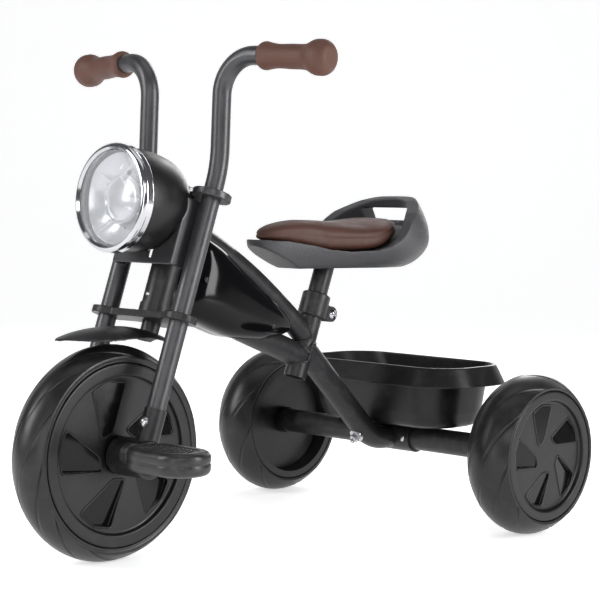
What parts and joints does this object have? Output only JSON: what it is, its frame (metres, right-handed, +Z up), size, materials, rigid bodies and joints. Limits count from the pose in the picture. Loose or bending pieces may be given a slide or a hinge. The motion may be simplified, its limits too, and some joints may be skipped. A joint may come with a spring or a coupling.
{
  "type": "children's tricycle",
  "caption": "Child's pedal tricycle: raked twin-tube fork with round headlamp, moulded tank, padded saddle with rear grab arch and a rear basket.",
  "frame": {"origin": "on the ground, under the middle of the whole object's bounding box", "axes": "+X points the way it rides, +Y to the rider's left, +Z up"},
  "size_m": [0.726, 0.5154, 0.5963],
  "materials": {
    "basket_plastic": "fine-textured grey moulded plastic",
    "bush_plastic": "black acetal",
    "chrome": "polished chrome",
    "clear_lens": "clear moulded lens",
    "graphite_metallic_paint": "satin metallic graphite paint",
    "grip_rubber": "brown soft moulded grip",
    "lamp_bucket_plastic": "satin dark grey moulded plastic",
    "pedal_plastic": "black moulded plastic with a raised tread",
    "reflector": "mirror-metallised reflector",
    "seat_leather": "brown artificial leather, fine grain",
    "seat_plastic": "fine-textured grey moulded plastic",
    "silver_metallic_paint": "satin metallic grey paint",
    "tank_plastic": "high-gloss black moulded plastic",
    "tyre_foam": "semi-gloss black moulded EVA",
    "wheel_plastic": "semi-gloss black moulded plastic",
    "zinc_steel": "bright zinc-plated steel"
  },
  "bodies": {
    "frame": {"frame_head_tube": "graphite_metallic_paint", "frame_top_tube": "graphite_metallic_paint", "frame_down_tube": "graphite_metallic_paint", "frame_seat_tube": "graphite_metallic_paint", "frame_main_tube": "graphite_metallic_paint", "frame_joint_bolt": "zinc_steel", "head_bearing_cups": "graphite_metallic_paint", "head_tube_screw": "zinc_steel", "axle_sleeve": "graphite_metallic_paint", "axle_sleeve_screws": "zinc_steel", "rear_axle_tube": "graphite_metallic_paint", "rear_axle_bushes": "bush_plastic", "rear_axle_rod": "zinc_steel", "rear_axle_push_nuts": "zinc_steel", "tank_left": "tank_plastic", "tank_right": "tank_plastic", "tank_screws": "graphite_metallic_paint", "seat_clamp": "graphite_metallic_paint", "seat_clamp_bolt": "chrome", "basket": "basket_plastic", "basket_screws": "zinc_steel"},
    "fork": {"fork_tube_left": "silver_metallic_paint", "fork_tube_right": "silver_metallic_paint", "fork_end_left": "graphite_metallic_paint", "fork_end_right": "graphite_metallic_paint", "fork_end_screws": "zinc_steel", "lower_clamp_plate": "graphite_metallic_paint", "upper_clamp_plate": "silver_metallic_paint", "steerer": "graphite_metallic_paint", "steerer_top_nut": "zinc_steel", "front_fender": "graphite_metallic_paint", "fender_bolt": "graphite_metallic_paint", "lamp_bracket": "silver_metallic_paint", "lamp_bucket": "lamp_bucket_plastic", "lamp_bezel": "chrome", "lamp_lens": "clear_lens", "lamp_reflector": "reflector", "lamp_bulb": "clear_lens", "grip_left": "grip_rubber", "grip_right": "grip_rubber"},
    "front_wheel": {"front_tyre": "tyre_foam", "front_rim_left": "wheel_plastic", "front_rim_right": "wheel_plastic", "front_axle": "zinc_steel", "crank_left": "graphite_metallic_paint", "crank_right": "graphite_metallic_paint"},
    "pedal_left": {"pedal_left": "pedal_plastic"},
    "pedal_right": {"pedal_right": "pedal_plastic"},
    "rear_wheel_left": {"rear_tyre_left": "tyre_foam", "rear_rim_outer_left": "wheel_plastic", "rear_rim_inner_left": "wheel_plastic"},
    "rear_wheel_right": {"rear_tyre_right": "tyre_foam", "rear_rim_outer_right": "wheel_plastic", "rear_rim_inner_right": "wheel_plastic"},
    "seat": {"seat_post": "graphite_metallic_paint", "seat_mount_plate": "graphite_metallic_paint", "seat_mount_screws": "zinc_steel", "seat_shell": "seat_plastic", "seat_cushion": "seat_leather"}
  },
  "joints": [
    {"name": "steering", "type": "hinge", "parent": "frame", "child": "fork", "pos_m": [0.22381, 0, 0.12014], "axis": [-0.3239, 0, 0.9461], "range_deg": [-45, 45]},
    {"name": "front_wheel_spin", "type": "hinge", "parent": "fork", "child": "front_wheel", "pos_m": [0.238, 0, 0.125], "axis": [0, 1, 0], "continuous": true},
    {"name": "pedal_left_spin", "type": "hinge", "parent": "front_wheel", "child": "pedal_left", "pos_m": [0.27414, 0.148, 0.13674], "axis": [0, 1, 0], "continuous": true},
    {"name": "pedal_right_spin", "type": "hinge", "parent": "front_wheel", "child": "pedal_right", "pos_m": [0.20186, -0.148, 0.11326], "axis": [0, 1, 0], "continuous": true},
    {"name": "rear_wheel_left_spin", "type": "hinge", "parent": "frame", "child": "rear_wheel_left", "pos_m": [-0.262, 0.2255, 0.101], "axis": [0, 1, 0], "continuous": true},
    {"name": "rear_wheel_right_spin", "type": "hinge", "parent": "frame", "child": "rear_wheel_right", "pos_m": [-0.262, -0.2255, 0.101], "axis": [0, 1, 0], "continuous": true},
    {"name": "seat_height", "type": "slide", "parent": "frame", "child": "seat", "axis": [-0.3518, 0, 0.9361], "range_m": [-0.008, 0.04]}
  ]
}
